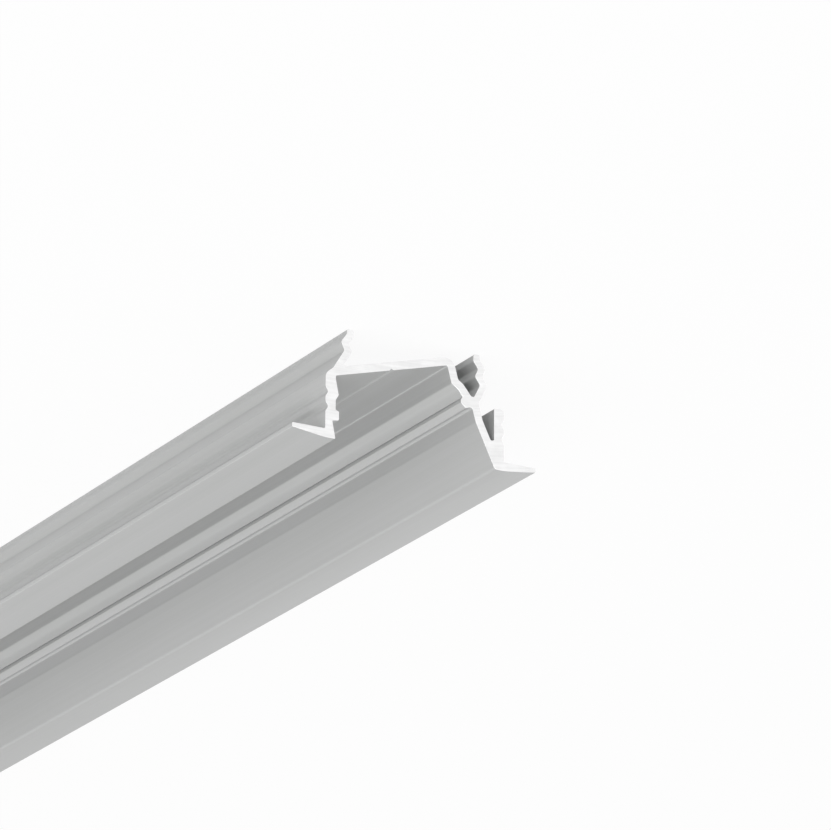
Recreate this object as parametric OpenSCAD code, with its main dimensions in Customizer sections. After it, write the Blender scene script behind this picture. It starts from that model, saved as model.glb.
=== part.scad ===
// Recessed profile for an LED strip, one straight bar of extruded aluminium.
// The strip lies on a tilted seat and shines out of the mouth between the two flanges.
// The bar lies along X with its mouth up, and rests on the tips of its two clip arms.
// The origin is on the floor, under the middle of the bar.

/* [Bar] */
// Length that the bar is cut to
length = 1000; // [200:50:3000]
// Width over both flanges
overall_w = 30; // [28:0.5:36]
// Width over the two side walls, which the recess has to clear
body_w = 22; // [21.6:0.1:23]
// Height from the tips of the clip arms to the flange faces
overall_h = 12.8; // [12.6:0.1:13.4]

/* [Flanges] */
// Thickness of a flange at the side wall
flange_t = 1; // [0.7:0.05:1.3]
// Thickness of a flange at its outer edge
flange_edge_t = 0.5; // [0.25:0.05:0.6]
// Width of the level part of a flange face, outwards from the mouth
flange_level = 1.4; // [1.1:0.1:3]

/* [Side walls] */
// Thickness of the side wall that carries the seat
wall_t = 1.25; // [1:0.05:1.4]
// Thickness of the side wall behind the lip
stub_t = 1.2; // [0.9:0.05:1.3]
// Depth at which the wall that carries the seat bends into its clip arm
bend_depth = 7.3; // [7:0.05:7.4]
// Depth of the end of the wall behind the lip
stub_depth = 7; // [6.8:0.05:7.2]
// Depth of the first grip groove below the flange faces
grip_first = 3.55; // [2.5:0.05:3.7]
// Distance between the two grip grooves of a wall
grip_pitch = 1.7; // [1.4:0.05:2]
// Width of a grip groove at its mouth
grip_w = 1.1; // [0.6:0.05:1.2]
// Depth of a grip groove
grip_deep = 0.35; // [0.15:0.05:0.45]

/* [Strip seat] */
// Tilt of the seat from the flange faces, in degrees
seat_tilt = 15; // [13:0.5:16]
// Width of the seat, for the strip
seat_w = 14.2; // [13.6:0.1:14.4]
// Thickness of the seat, of the wall at its deep end and of the shoulder below that
seat_t = 0.94; // [0.7:0.02:1]
// Depth of the shallow end of the seat below the flange faces
seat_depth = 7.2; // [7:0.05:7.3]
// Height of the wall at the deep end of the seat
end_wall_h = 2.05; // [1.9:0.05:2.4]
// How far the shoulder below the end wall stands out
shoulder_out = 0.8; // [0.7:0.05:1.1]
// Slope of the shoulder, in degrees
shoulder_tilt = 33; // [24:1:36]
// Distance of the marking line from the shallow end of the seat
mark_at = 7.05; // [5:0.05:9]
// Width of the marking line
mark_w = 0.55; // [0.3:0.05:0.8]
// Depth of the marking line
mark_deep = 0.2; // [0.05:0.01:0.25]

/* [Cover catches] */
// Depth of the front of the ledge below the flange faces
ledge_depth = 2.15; // [1.9:0.05:2.4]
// Thickness of the ledge
ledge_t = 1.15; // [0.8:0.05:1.3]
// Width of the catch groove between the ledge and the ridge
catch_w = 1.1; // [0.9:0.05:1.3]
// How far the ledge stands out of the wall
ledge_out = 0.42; // [0.2:0.02:0.6]
// How far the ridge stands out of the wall
ridge_out = 0.36; // [0.2:0.02:0.6]
// Height of the crest of the ridge above the catch groove
ridge_rise = 0.63; // [0.5:0.01:0.7]
// Distance from the ridge to the shallow end of the seat
ridge_gap = 0.4; // [0.3:0.05:0.9]
// How far the wall is cut back between the ledge and the mouth
relief = 0.4; // [0.2:0.05:0.5]
// Distance of the rib on the other side from the middle of the bar
rib_y = 5.65; // [5.55:0.05:5.85]
// Depth of the face of the rib below the flange faces
rib_depth = 6.36; // [6.26:0.02:6.5]
// Width of the rib
rib_w = 1.45; // [1.25:0.05:1.55]
// Height of the side of the rib
rib_h = 0.9; // [0.7:0.02:0.96]
// How far the rib stands out of the shoulder above it
rib_out = 0.22; // [0.1:0.02:0.28]
// Height of the undercut above the side of the rib
undercut_h = 0.34; // [0.1:0.02:0.4]
// Width of the bevel along the rib
rib_bevel = 0.6; // [0.4:0.02:0.64]
// Width of the fine groove between the rib and the lip
groove_w = 0.3; // [0.2:0.02:0.5]
// Depth of the fine groove between the rib and the lip
groove_deep = 0.2; // [0.1:0.02:0.3]

/* [Lip and slot] */
// Thickness of the sloping lip between the rib and the mouth
lip_t = 0.92; // [0.7:0.02:0.98]
// How far the front of the lip meets the mouth beyond the wall behind it
lip_set = 0.1; // [0:0.01:0.2]
// Height of the steep neck of the lip
neck_h = 1.45; // [0.8:0.05:1.8]
// How far the neck leans out
neck_out = 0.4; // [0.3:0.01:0.5]
// Depth of the bottom of the slot between the lip and the side wall
slot_depth = 3.25; // [2.5:0.05:4]

/* [Clip arms] */
// Thickness of the clip arms
arm_t = 0.78; // [0.6:0.02:0.85]
// Distance of the tip of the arm over the side wall from the middle of the bar
near_arm_y = 8.05; // [7.9:0.05:8.2]
// Distance of the tip of the arm over the rib from the middle of the bar
far_arm_y = 7.6; // [7.5:0.01:7.8]
// Thickness of the metal where the far arm, the lip and the shoulder meet
knot_t = 1.48; // [1.3:0.02:1.6]
// Width of the bottom of the groove between the far arm and the shoulder
vee_w = 0.36; // [0.2:0.02:0.46]
// Length of the straight tip of an arm
tip_len = 0.7; // [0.6:0.05:0.8]
// Height from the crest of a tooth to the hollow beside it
tooth_rise = 0.92; // [0.88:0.02:0.96]
// How far an arm swings out to the crest of a tooth
tooth_out = 0.66; // [0.5:0.02:0.75]
// How far an arm swings back to the hollow beside it
tooth_back = 0.42; // [0.3:0.02:0.5]

/* [Hidden] */

half_w = overall_w / 2;
half_body = body_w / 2;
mouth_y = half_body - wall_t;     // the inner face of the wall that carries the seat
lip_y = half_body - stub_t;       // the foot of the lip, and the inner face of the wall behind it
arc_step = 12;                    // degrees between two points of a round corner
arc_least = 3;                    // the fewest steps of a round corner

edge_r = 0.12;                    // the rounding of an outer edge
root_r = 0.2;                     // the fillet in an inner corner
bend_r = 0.4;                     // the rounding of a bend in a wall
tip_r = 0.3;                      // the round end of an arm or a wall
neck_r = 1;                       // the soft bend of the lip, of the ridge and into the near arm
shoulder_r = 1.6;                 // the soft bend of the shoulder
crown_r = 10;                     // the soft bend in a flange face
arm_root = 0.7;                   // where an arm starts, as a share of the metal at its root

// Points and corners are [y, depth below the flange faces], and a corner adds its radius.
function unit(v) = v / norm(v);
function flat(c) = [c[0], c[1]];
function reversed(list) = [for (i = [len(list) - 1:-1:0]) list[i]];
function mirrored(corners) = [for (c = reversed(corners)) [-c[0], c[1], c[2]]];
function with_radius(points, r) = [for (p = points) [p[0], p[1], r]];
function to_the_side(v) = [v[1], -v[0]];

// A path moved sideways by a distance, with its corners mitred.
function beside(path, dist) = [
    for (i = [0:len(path) - 1])
        let (
            before = unit(i > 0 ? path[i] - path[i - 1] : path[1] - path[0]),
            after = unit(i < len(path) - 1 ? path[i + 1] - path[i] : path[i] - path[i - 1])
        )
        path[i] + dist * (to_the_side(before) + to_the_side(after)) / (1 + before * after)
];

// Where the line through a and b crosses the line through c and d.
function meet(a, b, c, d) =
    let (along = b - a, across = to_the_side(d - c))
    a + along * (((c - a) * across) / (along * across));

// The arc that rounds corner b between its neighbours a and c.
function rounded(a, b, c, r) =
    let (
        u = unit(a - b),
        v = unit(c - b),
        half = acos(max(-1, min(1, u * v))) / 2,
        reach = min(r / tan(half), 0.48 * min(norm(a - b), norm(c - b))),
        centre = b + unit(u + v) * reach / cos(half),
        start = b + u * reach - centre,
        turn = (180 - 2 * half) * (u[0] * v[1] - u[1] * v[0] < 0 ? 1 : -1),
        steps = max(arc_least, ceil(abs(turn) / arc_step))
    )
    [for (i = [0:steps]) let (t = turn * i / steps)
        centre + [start[0] * cos(t) - start[1] * sin(t), start[0] * sin(t) + start[1] * cos(t)]];

function outline(corners) =
    let (n = len(corners))
    [for (i = [0:n - 1])
        let (before = corners[(i + n - 1) % n], here = corners[i], after = corners[(i + 1) % n])
        each here[2] > 0 ? rounded(flat(before), flat(here), flat(after), here[2]) : [flat(here)]];

// The side wall and its flange, from the level part of the flange face to above the grip grooves.
function grip_groove(depth) = [
    [-half_body, depth - grip_w / 2, bend_r],
    [-half_body + grip_deep, depth, bend_r],
    [-half_body, depth + grip_w / 2, bend_r]
];
function flank(inner_y) = concat(
    [
        [-inner_y - flange_level, 0, crown_r],
        [-half_w, flange_t - flange_edge_t, edge_r],
        [-half_w, flange_t, edge_r],
        [-half_body, flange_t, root_r]
    ],
    grip_groove(grip_first),
    grip_groove(grip_first + grip_pitch)
);

// The seat with the wall at its deep end, along the faces that look into the channel.
seat_start = [-mouth_y, seat_depth];
along_seat = [cos(seat_tilt), sin(seat_tilt)];
into_seat = [-along_seat[1], along_seat[0]];
seat_end = seat_start + seat_w * along_seat;
wall_foot = seat_end - end_wall_h * into_seat;
shoulder = wall_foot + shoulder_out * [1, -tan(shoulder_tilt)];
shoulder_end = [rib_y + rib_out, rib_depth + rib_h + undercut_h];
inner_path = [seat_start, seat_end, wall_foot, shoulder, shoulder_end];
outer_path = beside(inner_path, -seat_t);

// The lip, from the rib down to the mouth.
lip_top = [rib_y + rib_w, rib_depth + groove_deep / 2];
lip_path = [lip_top, lip_top + [neck_out, -neck_h], [lip_y + lip_set, 0]];
lip_back = beside(lip_path, -lip_t);
slot_foot = meet(lip_back[1], lip_back[2], [0, slot_depth], [1, slot_depth]);

// The bottom of the ridge on the near wall, above the catch groove.
ridge_foot = ledge_depth + ledge_t + catch_w;

// The clip arms, from the root to the tip.
function arm_path(root, tip_y, out, bends) = concat(
    [root],
    [for (i = [bends:-1:1])
        let (swing = ceil(i / 2) * tooth_out - floor(i / 2) * tooth_back)
        [tip_y + out * swing, overall_h - tip_len - i * tooth_rise]],
    [[tip_y, overall_h - tip_len], [tip_y, overall_h]]
);
near_arm = arm_path(seat_start + [0, seat_t * arm_root], -near_arm_y, -1, 2);
vee_depth = rib_depth + knot_t;
far_arm = arm_path([rib_y + rib_w + lip_t * arm_root, vee_depth], far_arm_y, 1, 3);
near_inside = beside(near_arm, arm_t / 2);
near_root = meet(near_inside[0], near_inside[1], outer_path[0], outer_path[1]);
far_inside = beside(far_arm, -arm_t / 2);
vee_foot = meet(far_inside[0], far_inside[1], [0, vee_depth], [1, vee_depth]);
far_outside = beside(far_arm, arm_t / 2);
far_root = meet(far_outside[0], far_outside[1], lip_back[0], lip_back[1]);

function upwards(points) = with_radius([for (i = [0:len(points) - 2]) points[i]], bend_r);
function past_root(points) = [for (i = [1:len(points) - 1]) points[i]];
function arm(left, right) = concat(
    upwards(left),
    with_radius([left[len(left) - 1], right[len(right) - 1]], tip_r),
    reversed(upwards(right))
);

section = concat(
    flank(mouth_y),
    [[-half_body, bend_depth, neck_r]],
    arm(beside(near_arm, -arm_t / 2), past_root(near_inside)),
    [
        [near_root[0], near_root[1], root_r],
        [outer_path[1][0], outer_path[1][1], seat_t + tip_r],
        [outer_path[2][0], outer_path[2][1], bend_r],
        [outer_path[3][0], outer_path[3][1], shoulder_r],
        [vee_foot[0] - vee_w, vee_depth, root_r],
        [vee_foot[0], vee_depth, root_r]
    ],
    arm(past_root(far_inside), concat([far_root], past_root(far_outside))),
    [
        [lip_back[1][0], lip_back[1][1], neck_r],
        [slot_foot[0], slot_foot[1], root_r],
        [lip_y, slot_depth, root_r],
        [lip_y, stub_depth, root_r],
        [half_body, stub_depth, bend_r]
    ],
    mirrored(flank(lip_path[2][0])),
    [
        [lip_path[2][0], 0, bend_r],
        [lip_path[1][0], lip_path[1][1], neck_r],
        [lip_path[0][0], lip_path[0][1], edge_r],
        [rib_y + rib_w - groove_w, rib_depth + groove_deep, edge_r],
        [rib_y + rib_bevel, rib_depth, root_r],
        [rib_y, rib_depth + rib_bevel, edge_r],
        [rib_y, rib_depth + rib_h, edge_r],
        [shoulder_end[0], shoulder_end[1], 0],
        [shoulder[0], shoulder[1], shoulder_r],
        [wall_foot[0], wall_foot[1], bend_r],
        [seat_end[0], seat_end[1], root_r]
    ],
    with_radius([
        seat_start + (mark_at + mark_w / 2) * along_seat,
        seat_start + mark_at * along_seat + mark_deep * into_seat,
        seat_start + (mark_at - mark_w / 2) * along_seat
    ], 0),
    [
        [seat_start[0], seat_start[1], root_r],
        [-mouth_y, seat_depth - ridge_gap, neck_r],
        [-mouth_y + ridge_out, ridge_foot + ridge_rise, edge_r],
        [-mouth_y, ridge_foot, root_r],
        [-mouth_y, ledge_depth + ledge_t, edge_r],
        [-mouth_y + ledge_out, ledge_depth + ledge_t - edge_r, root_r],
        [-mouth_y + ledge_out, ledge_depth, root_r],
        [-mouth_y - relief, ledge_depth - edge_r, edge_r],
        [-mouth_y, 0, edge_r]
    ]
);

module led_profile() {
    color([0.75, 0.75, 0.74])
        translate([-length / 2, 0, overall_h])
            rotate([90, 0, 90])
                mirror([0, 1])
                    linear_extrude(height = length)
                        polygon(outline(section));
}

led_profile();
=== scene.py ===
# Recessed profile for an LED strip: its finish, its floor, its light and its camera, all in metres.
import math

import bmesh
import bpy
from mathutils import Matrix, Vector


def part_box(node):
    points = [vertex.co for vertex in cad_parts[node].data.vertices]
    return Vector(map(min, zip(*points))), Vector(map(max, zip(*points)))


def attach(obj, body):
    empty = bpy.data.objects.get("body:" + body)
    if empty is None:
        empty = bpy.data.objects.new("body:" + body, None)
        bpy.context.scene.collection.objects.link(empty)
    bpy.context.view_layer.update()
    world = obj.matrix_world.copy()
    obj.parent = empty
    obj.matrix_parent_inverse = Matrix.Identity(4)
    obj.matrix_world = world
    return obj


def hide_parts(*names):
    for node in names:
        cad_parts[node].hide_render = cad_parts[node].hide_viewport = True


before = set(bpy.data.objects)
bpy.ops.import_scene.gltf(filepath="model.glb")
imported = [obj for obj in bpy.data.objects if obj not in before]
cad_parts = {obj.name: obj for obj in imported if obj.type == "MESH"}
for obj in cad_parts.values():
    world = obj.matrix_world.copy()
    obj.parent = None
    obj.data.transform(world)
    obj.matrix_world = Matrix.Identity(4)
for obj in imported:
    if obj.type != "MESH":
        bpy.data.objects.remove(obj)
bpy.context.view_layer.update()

mm = 0.001
middle = 0.5   # of a noise's values, and of the way from one colour to another


# A node's output that takes part in plain arithmetic, in shader and in geometry trees alike.
class Wire:
    def __init__(self, graph, socket):
        self.graph, self.socket = graph, socket

    def __getitem__(self, name):
        return Wire(self.graph, self.socket.node.outputs[name])  # another output of the same node

    def maths(self, operation, *values):
        sockets = dict(enumerate(values))
        return self.graph.node("ShaderNodeMath", {"operation": operation}, sockets)

    def __add__(self, other):
        return self.maths("ADD", self, other)

    def __sub__(self, other):
        return self.maths("SUBTRACT", self, other)

    def __rsub__(self, other):
        return self.maths("SUBTRACT", other, self)

    def __mul__(self, other):
        return self.maths("MULTIPLY", self, other)

    def __truediv__(self, other):
        return self.maths("DIVIDE", self, other)

    def __gt__(self, other):
        return self.maths("GREATER_THAN", self, other)

    __radd__ = __add__
    __rmul__ = __mul__

    def swing(self, share):
        return (self - middle) * share  # how far a noise is from its middle, times its share

    def clamped(self):
        return self.maths("MINIMUM", self.maths("MAXIMUM", self, 0.0), 1.0)

    def between(self, low, high):
        return ((self - low) / (high - low)).clamped()


# A node tree, and the one way in which this script adds a node to it.
class Graph:
    def __init__(self, tree):
        self.tree = tree

    def node(self, kind, settings=None, sockets=None):
        made = self.tree.nodes.new(kind)
        for name, value in (settings or {}).items():
            setattr(made, name, value)
        for name, value in (sockets or {}).items():
            if isinstance(value, Wire):
                self.tree.links.new(value.socket, made.inputs[name])
            else:
                made.inputs[name].default_value = value
        return Wire(self, made.outputs[0]) if made.outputs else None

    def blend(self, factor, first, second):
        sockets = {"Factor": factor, 6: (*first, 1.0), 7: (*second, 1.0)}
        wire = self.node("ShaderNodeMix", {"data_type": "RGBA"}, sockets)
        return Wire(self, wire.socket.node.outputs[2])

    def noise(self, place, scale, detail=2.0, roughness=0.5):
        stretched = self.node("ShaderNodeMapping", {}, {"Vector": place, "Scale": scale})
        sockets = {"Vector": stretched, "Scale": 1.0, "Detail": detail, "Roughness": roughness}
        return self.node("ShaderNodeTexNoise", {"noise_dimensions": "3D"}, sockets)


def newSurface(name):
    material = bpy.data.materials.new(name)
    material.use_nodes = True
    material.node_tree.nodes.clear()
    return material, Graph(material.node_tree)


# The anodised skin: satin etch, lines drawn by the die, and a slow drift of the tone.
anodised = {
    "dark": (0.457, 0.465, 0.456),
    "light": (0.538, 0.540, 0.543),
    "metallic": 0.3,
    "roughness": 0.50,
    "lineWidth": 0.22 * mm,                # the die's lines run along the bar
    "lineLength": 0.6,
    "lineDepth": 0.0008 * mm,
    "grainSize": 0.07 * mm,                # the etch under the anodising
    "grainDepth": 0.0011 * mm,
    "bandsPerMetre": (1.5, 420.0, 420.0),  # wider lines, along the bar and across it
    "cloudSize": 0.045,
    "cloudsAcross": 260.0,                 # in a metre
    "toneShare": {"lines": 0.9, "bands": 0.7, "cloud": 0.5},
    "roughShare": {"lines": 0.10, "grain": 0.10, "bands": 0.06},
}


def anodisedSurface():
    a = anodised
    material, g = newSurface("anodisedAluminium")
    place = g.node("ShaderNodeTexCoord")["Object"]
    lineScale = (1 / a["lineLength"], 1 / a["lineWidth"], 1 / a["lineWidth"])
    lines = g.noise(place, lineScale, detail=3.0, roughness=0.6)
    bands = g.noise(place, a["bandsPerMetre"], detail=1.0)
    grain = g.noise(place, (1 / a["grainSize"],) * 3, detail=1.0)
    cloud = g.noise(place, (1 / a["cloudSize"], a["cloudsAcross"], a["cloudsAcross"]))
    tones, roughs = a["toneShare"], a["roughShare"]
    tone = lines.swing(tones["lines"]) + bands.swing(tones["bands"]) + cloud.swing(tones["cloud"]) + middle
    rough = lines.swing(roughs["lines"]) + grain.swing(roughs["grain"]) + bands.swing(roughs["bands"])
    rough = rough + a["roughness"]
    height = lines * (a["lineDepth"] / a["grainDepth"]) + grain
    bump = g.node("ShaderNodeBump", {}, {"Strength": 1.0, "Distance": a["grainDepth"], "Height": height})
    skin = g.node("ShaderNodeBsdfPrincipled", {}, {
        "Base Color": g.blend(tone.clamped(), a["dark"], a["light"]),
        "Metallic": a["metallic"],
        "Roughness": rough,
        "Normal": bump,
    })
    g.node("ShaderNodeOutputMaterial", {}, {"Surface": skin})
    return material


# Bare metal where the saw went through, with the faint arcs that the blade leaves.
sawn = {
    "dark": (0.78, 0.78, 0.78),
    "light": (0.96, 0.96, 0.96),
    "roughness": 0.45,
    "bladeRadius": 0.15,
    "hub": (0.0, -0.08, -1.0),  # the blade's middle from the bar's, in blade radii
    "arcPitch": 0.24 * mm,
    "arcRun": 6.0 * mm,         # how far an arc keeps its tone
    "arcDepth": 0.002 * mm,
    "patchSize": 1.6 * mm,
    "toneShare": {"arcs": 1.25, "patches": 0.8},
    "roughShare": 0.2,
}


def sawnSurface():
    s = sawn
    material, g = newSurface("sawnAluminium")
    place = g.node("ShaderNodeTexCoord")["Object"]
    hub = [radii * s["bladeRadius"] for radii in s["hub"]]
    flat = g.node("ShaderNodeVectorMath", {"operation": "MULTIPLY"}, {0: place, 1: (0.0, 1.0, 1.0)})
    reach = g.node("ShaderNodeVectorMath", {"operation": "DISTANCE"}, {0: flat, 1: hub})["Value"]
    across = g.node("ShaderNodeSeparateXYZ", {}, {"Vector": place})["Y"]
    ring = g.node("ShaderNodeCombineXYZ", {}, {"X": reach / s["arcPitch"], "Y": across / s["arcRun"]})
    arcs = g.noise(ring, (1.0, 1.0, 1.0), detail=3.0, roughness=0.6)
    patches = g.noise(place, (1 / s["patchSize"],) * 3)
    tones = s["toneShare"]
    tone = arcs.swing(tones["arcs"]) + patches.swing(tones["patches"]) + middle
    bump = g.node("ShaderNodeBump", {}, {"Strength": 1.0, "Distance": s["arcDepth"], "Height": arcs})
    metal = g.node("ShaderNodeBsdfPrincipled", {}, {
        "Base Color": g.blend(tone.clamped(), s["dark"], s["light"]),
        "Metallic": 1.0,
        "Roughness": arcs.swing(s["roughShare"]) + s["roughness"],
        "Normal": bump,
    })
    g.node("ShaderNodeOutputMaterial", {}, {"Surface": metal})
    return material


# The bar: the frame's own section drawn out along its length, with the saw's edges just broken.
bar = {
    "name": "led_profile_bar",
    "node": "led_profile",
    "slot": "anodised_aluminium",
    "spans": 48,            # rings along the length
    "edgeBreak": 0.03 * mm,
    "edgeSteps": 3,
    "creaseAngle": 26.0,    # degrees, above which an edge stays crisp
    "weld": 0.001 * mm,     # points closer than this are one
    "endDepth": 0.01 * mm,  # points this close to the end lie on the sawn face
    "endFacing": 0.5,       # a face turned this far along the bar belongs to the sawn end
    "endFlat": 0.999,       # and at this it is the flat of it
}


# The outline of the sawn end in the frame, as points in order round it.
def sectionLoop(node):
    cad = bmesh.new()
    cad.from_mesh(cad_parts[node].data)
    bmesh.ops.remove_doubles(cad, verts=cad.verts, dist=bar["weld"])
    low = min(v.co.x for v in cad.verts) + bar["endDepth"]
    rim = [e for e in cad.edges if all(v.co.x < low for v in e.verts)
           and any(abs(f.normal.x) < bar["endFacing"] for f in e.link_faces)]
    partners = {}
    for e in rim:
        for v in e.verts:
            partners.setdefault(v, []).append(e.other_vert(v))
    first = rim[0].verts[0]
    loop, here, before = [first], partners[first][0], first
    while here is not first:
        loop.append(here)
        here, before = next(v for v in partners[here] if v is not before), here
    points = [(v.co.y, v.co.z) for v in loop]
    cad.free()
    area = sum(a[0] * b[1] - b[0] * a[1] for a, b in zip(points, points[1:] + points[:1]))
    return points if area > 0 else points[::-1]


# For each point of the outline, the step outwards that moves both its edges by one.
def waysOut(points):
    found = []
    for i, point in enumerate(points):
        here, before, after = Vector(point), Vector(points[i - 1]), Vector(points[(i + 1) % len(points)])
        one, two = (here - before).normalized(), (after - here).normalized()
        side = Vector((one.y + two.y, -one.x - two.x)) / (1 + one.dot(two))
        found.append((0.0, side.x, side.y))
    return found


# The outline as a loop of edges. Curve to Mesh turns a profile half round, so it goes in turned.
def sectionObject(points):
    mesh = bpy.data.meshes.new("section")
    edges = [(i, (i + 1) % len(points)) for i in range(len(points))]
    mesh.from_pydata([(-y, -z, 0.0) for y, z in points], edges, [])
    mesh.attributes.new("wayOut", "FLOAT_VECTOR", "POINT")
    mesh.attributes["wayOut"].data.foreach_set("vector", [c for way in waysOut(points) for c in way])
    made = bpy.data.objects.new("section", mesh)
    bpy.context.scene.collection.objects.link(made)
    return made


# A line of rings that carries the outline. The last rings at each end step in and break the edge.
def barTree():
    tree = bpy.data.node_groups.new("barFromSection", "GeometryNodeTree")
    tree.interface.new_socket("Geometry", in_out="OUTPUT", socket_type="NodeSocketGeometry")
    inputs = {"Geometry": "Geometry", "Length": "Float", "Spans": "Int", "Edge Break": "Float",
              "Edge Steps": "Int", "Skin": "Material", "Cut": "Material"}
    for name, kind in inputs.items():
        tree.interface.new_socket(name, in_out="INPUT", socket_type="NodeSocket" + kind)
    g = Graph(tree)
    given = g.node("NodeGroupInput")
    length, spans, edge, steps = given["Length"], given["Spans"], given["Edge Break"], given["Edge Steps"]
    line = g.node("GeometryNodeCurvePrimitiveLine", {}, {"End": (1.0, 0.0, 0.0)})
    count = spans + steps * 2.0 + 1.0
    path = g.node("GeometryNodeResampleCurve", {}, {"Curve": line, "Count": count})
    index = g.node("GeometryNodeInputIndex")
    share = ((index - steps) / spans).clamped()
    lowTurn = (1.0 - index / steps).clamped() * (math.pi / 2)
    highTurn = (1.0 - (count - 1.0 - index) / steps).clamped() * (math.pi / 2)
    sines = highTurn.maths("SINE", highTurn) - lowTurn.maths("SINE", lowTurn)
    cosines = lowTurn.maths("COSINE", lowTurn) * highTurn.maths("COSINE", highTurn)
    station = (share - 0.5) * (length - edge * 2.0) + sines * edge
    placed = g.node("GeometryNodeSetPosition", {}, {
        "Geometry": path, "Position": g.node("ShaderNodeCombineXYZ", {}, {"X": station})})
    kept = g.node("GeometryNodeStoreNamedAttribute", {"data_type": "FLOAT", "domain": "POINT"}, {
        "Geometry": placed, "Name": "inset", "Value": (1.0 - cosines) * edge})
    profile = g.node("GeometryNodeMeshToCurve", {}, {"Mesh": given["Geometry"]})
    drawn = g.node("GeometryNodeCurveToMesh", {}, {
        "Curve": kept, "Profile Curve": profile, "Fill Caps": True})
    inset = g.node("GeometryNodeInputNamedAttribute", {"data_type": "FLOAT"}, {"Name": "inset"})
    wayOut = g.node("GeometryNodeInputNamedAttribute", {"data_type": "FLOAT_VECTOR"}, {"Name": "wayOut"})
    move = g.node("ShaderNodeVectorMath", {"operation": "SCALE"}, {0: wayOut, "Scale": inset * -1.0})
    broken = g.node("GeometryNodeSetPosition", {}, {"Geometry": drawn, "Offset": move})
    normal = g.node("ShaderNodeSeparateXYZ", {}, {"Vector": g.node("GeometryNodeInputNormal")})["X"]
    facing = normal.maths("ABSOLUTE", normal)
    cut = g.node("GeometryNodeTriangulate", {"ngon_method": "BEAUTY"}, {
        "Mesh": broken, "Selection": facing > bar["endFlat"]})
    angle = g.node("GeometryNodeInputMeshEdgeAngle")
    crisp = angle > math.radians(bar["creaseAngle"])
    flat = g.node("GeometryNodeSetShadeSmooth", {"domain": "FACE"}, {"Geometry": cut, "Shade Smooth": True})
    soft = g.node("GeometryNodeSetShadeSmooth", {"domain": "EDGE"}, {
        "Geometry": flat, "Selection": crisp, "Shade Smooth": False})
    whole = g.node("GeometryNodeRealizeInstances", {}, {"Geometry": soft})
    skinned = g.node("GeometryNodeSetMaterial", {}, {"Geometry": whole, "Material": given["Skin"]})
    done = g.node("GeometryNodeSetMaterial", {}, {
        "Geometry": skinned, "Selection": facing > bar["endFacing"], "Material": given["Cut"]})
    g.node("NodeGroupOutput", {}, {"Geometry": done})
    return tree


def buildBar():
    b = bar
    low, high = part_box(b["node"])
    base = sectionObject(sectionLoop(b["node"]))
    tree = barTree()
    values = {"Length": high.x - low.x, "Spans": b["spans"], "Edge Break": b["edgeBreak"],
              "Edge Steps": b["edgeSteps"], "Skin": anodisedSurface(), "Cut": sawnSurface()}
    modifier = base.modifiers.new("draw", "NODES")
    modifier.node_group = tree
    for item in tree.interface.items_tree:
        if item.in_out == "INPUT" and item.name in values:
            modifier[item.identifier] = values[item.name]
    weighted = base.modifiers.new("evenShade", "WEIGHTED_NORMAL")
    weighted.keep_sharp = True
    weighted.weight = 100
    graph = bpy.context.evaluated_depsgraph_get()
    mesh = bpy.data.meshes.new_from_object(base.evaluated_get(graph), depsgraph=graph)
    bpy.data.objects.remove(base)
    mesh.name = b["name"]
    made = bpy.data.objects.new(b["name"], mesh)
    bpy.context.scene.collection.objects.link(made)
    for name in ("inset", "wayOut"):
        if name in mesh.attributes:
            mesh.attributes.remove(mesh.attributes[name])
    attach(made, "root")
    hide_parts(b["node"])
    triangles = sum(len(f.vertices) - 2 for f in mesh.polygons)
    print("bar:", len(mesh.vertices), "points,", triangles, "triangles")
    return made


# A pale floor that shows as white and keeps the bar's shadow.
floor = {
    "size": 60.0,
    "color": (0.92, 0.92, 0.92),
    "glow": 0.94,              # share of plain white that the eye and the metal see near the bar
    "shadowReach": (0.7, 1.1), # it turns to plain white between these distances
}


# One where the camera, the metal's sheen or glass looks, and nothing for the light on the bar.
def whiteForEye(g):
    rays = g.node("ShaderNodeLightPath")
    seen = rays["Is Camera Ray"] + rays["Is Glossy Ray"] + rays["Is Transmission Ray"]
    return seen.clamped()


def buildFloor():
    f = floor
    material, g = newSurface("paleFloor")
    place = g.node("ShaderNodeTexCoord")["Object"]
    away = g.node("ShaderNodeVectorMath", {"operation": "LENGTH"}, {0: place})["Value"]
    near = 1.0 - away.between(*f["shadowReach"])
    share = whiteForEye(g) * (1.0 - near * (1.0 - f["glow"]))
    paint = g.node("ShaderNodeBsdfDiffuse", {}, {"Color": (*f["color"], 1.0)})
    white = g.node("ShaderNodeEmission", {}, {"Color": (1.0, 1.0, 1.0, 1.0), "Strength": 1.0})
    mixed = g.node("ShaderNodeMixShader", {}, {0: share, 1: paint, 2: white})
    g.node("ShaderNodeOutputMaterial", {}, {"Surface": mixed})
    material.cycles.emission_sampling = "NONE"
    mesh = bpy.data.meshes.new("floor")
    h = f["size"] / 2
    mesh.from_pydata([(-h, -h, 0), (h, -h, 0), (h, h, 0), (-h, h, 0)], [], [(0, 1, 2, 3)])
    mesh.materials.append(material)
    made = bpy.data.objects.new("floor", mesh)
    bpy.context.scene.collection.objects.link(made)
    print("floor: done")


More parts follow.
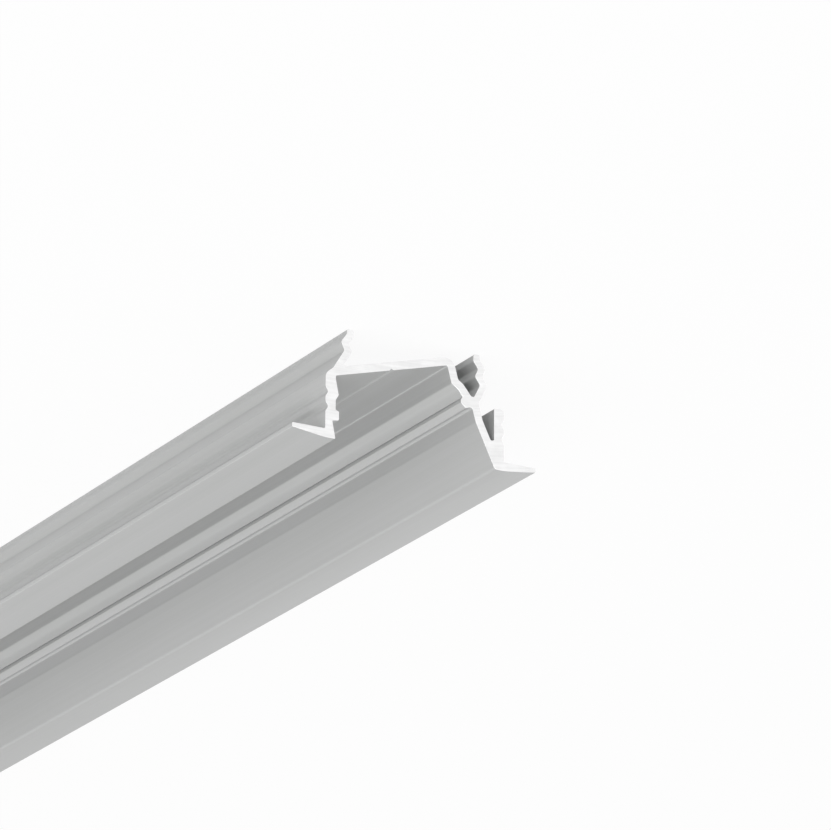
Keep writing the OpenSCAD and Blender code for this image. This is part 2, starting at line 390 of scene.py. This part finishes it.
# Soft light from all round, and lamps that the camera doesn't see.
light = {
    "room": 0.47,
    "aim": (-0.46, 0.0, 0.0),  # what every lamp faces
    "lamps": {
        "nearSide": {"at": (-0.46, -1.9, 1.6), "size": (3.0, 1.3), "power": 15.2},
        "lowSide": {"at": (-0.46, -2.4, 0.5), "size": (3.0, 0.7), "power": 1.8},
        "farSide": {"at": (0.6, 2.4, 0.16), "size": (3.0, 0.24), "power": 14.0},
        # These three light the sawn face, and put the sheen on the rib and the shoulder.
        "sawnEnd": {"at": (-1.1, -0.42, 0.58), "size": (0.45, 0.4), "power": 3.0},
        "lowEnd": {"at": (-1.4, -0.1, 0.12), "size": (0.5, 0.15), "power": 0.7},
        "highEnd": {"at": (1.1, -0.55, 1.2), "size": (0.5, 0.5), "power": 1.2},
    },
}


def buildLight():
    world = bpy.data.worlds.new("softRoom")
    bpy.context.scene.world = world
    world.use_nodes = True
    world.node_tree.nodes.clear()
    g = Graph(world.node_tree)
    strength = whiteForEye(g) * (1.0 - light["room"]) + light["room"]
    room = g.node("ShaderNodeBackground", {}, {"Color": (1.0, 1.0, 1.0, 1.0), "Strength": strength})
    g.node("ShaderNodeOutputWorld", {}, {"Surface": room})
    world.cycles.sampling_method = "NONE"
    for name, lamp in light["lamps"].items():
        data = bpy.data.lights.new(name, "AREA")
        data.shape = "RECTANGLE"
        data.size, data.size_y = lamp["size"]
        data.energy = lamp["power"]
        made = bpy.data.objects.new(name, data)
        made.location = lamp["at"]
        aim = Vector(light["aim"]) - Vector(lamp["at"])
        made.rotation_euler = aim.to_track_quat("-Z", "Y").to_euler()
        made.visible_camera = False
        bpy.context.scene.collection.objects.link(made)
    print("light: room and", len(light["lamps"]), "lamps")


# The camera looks into the mouth from the sawn end. It is rolled half a turn, which shows the mouth below.
camera = {
    "at": (-1.051731, -0.311288, 0.235524),
    "right": (-0.49248, 0.87031, -0.00344),
    "up": (-0.29220, -0.16906, -0.94129),
    "lens": 271.26,
    "sensor": 36.0,
    "clip": (0.05, 80.0),
}


def buildCamera():
    c = camera
    right, up = Vector(c["right"]).normalized(), Vector(c["up"]).normalized()
    back = right.cross(up).normalized()
    up = back.cross(right)
    turn = Matrix((right, up, back)).transposed().to_4x4()
    data = bpy.data.cameras.new("camera")
    data.lens, data.sensor_width = c["lens"], c["sensor"]
    data.clip_start, data.clip_end = c["clip"]
    made = bpy.data.objects.new("camera", data)
    made.matrix_world = Matrix.Translation(Vector(c["at"])) @ turn
    bpy.context.scene.collection.objects.link(made)
    bpy.context.scene.camera = made
    print("camera: lens", c["lens"])


buildBar()
buildFloor()
buildLight()
buildCamera()
bpy.context.scene.view_settings.view_transform = "Standard"
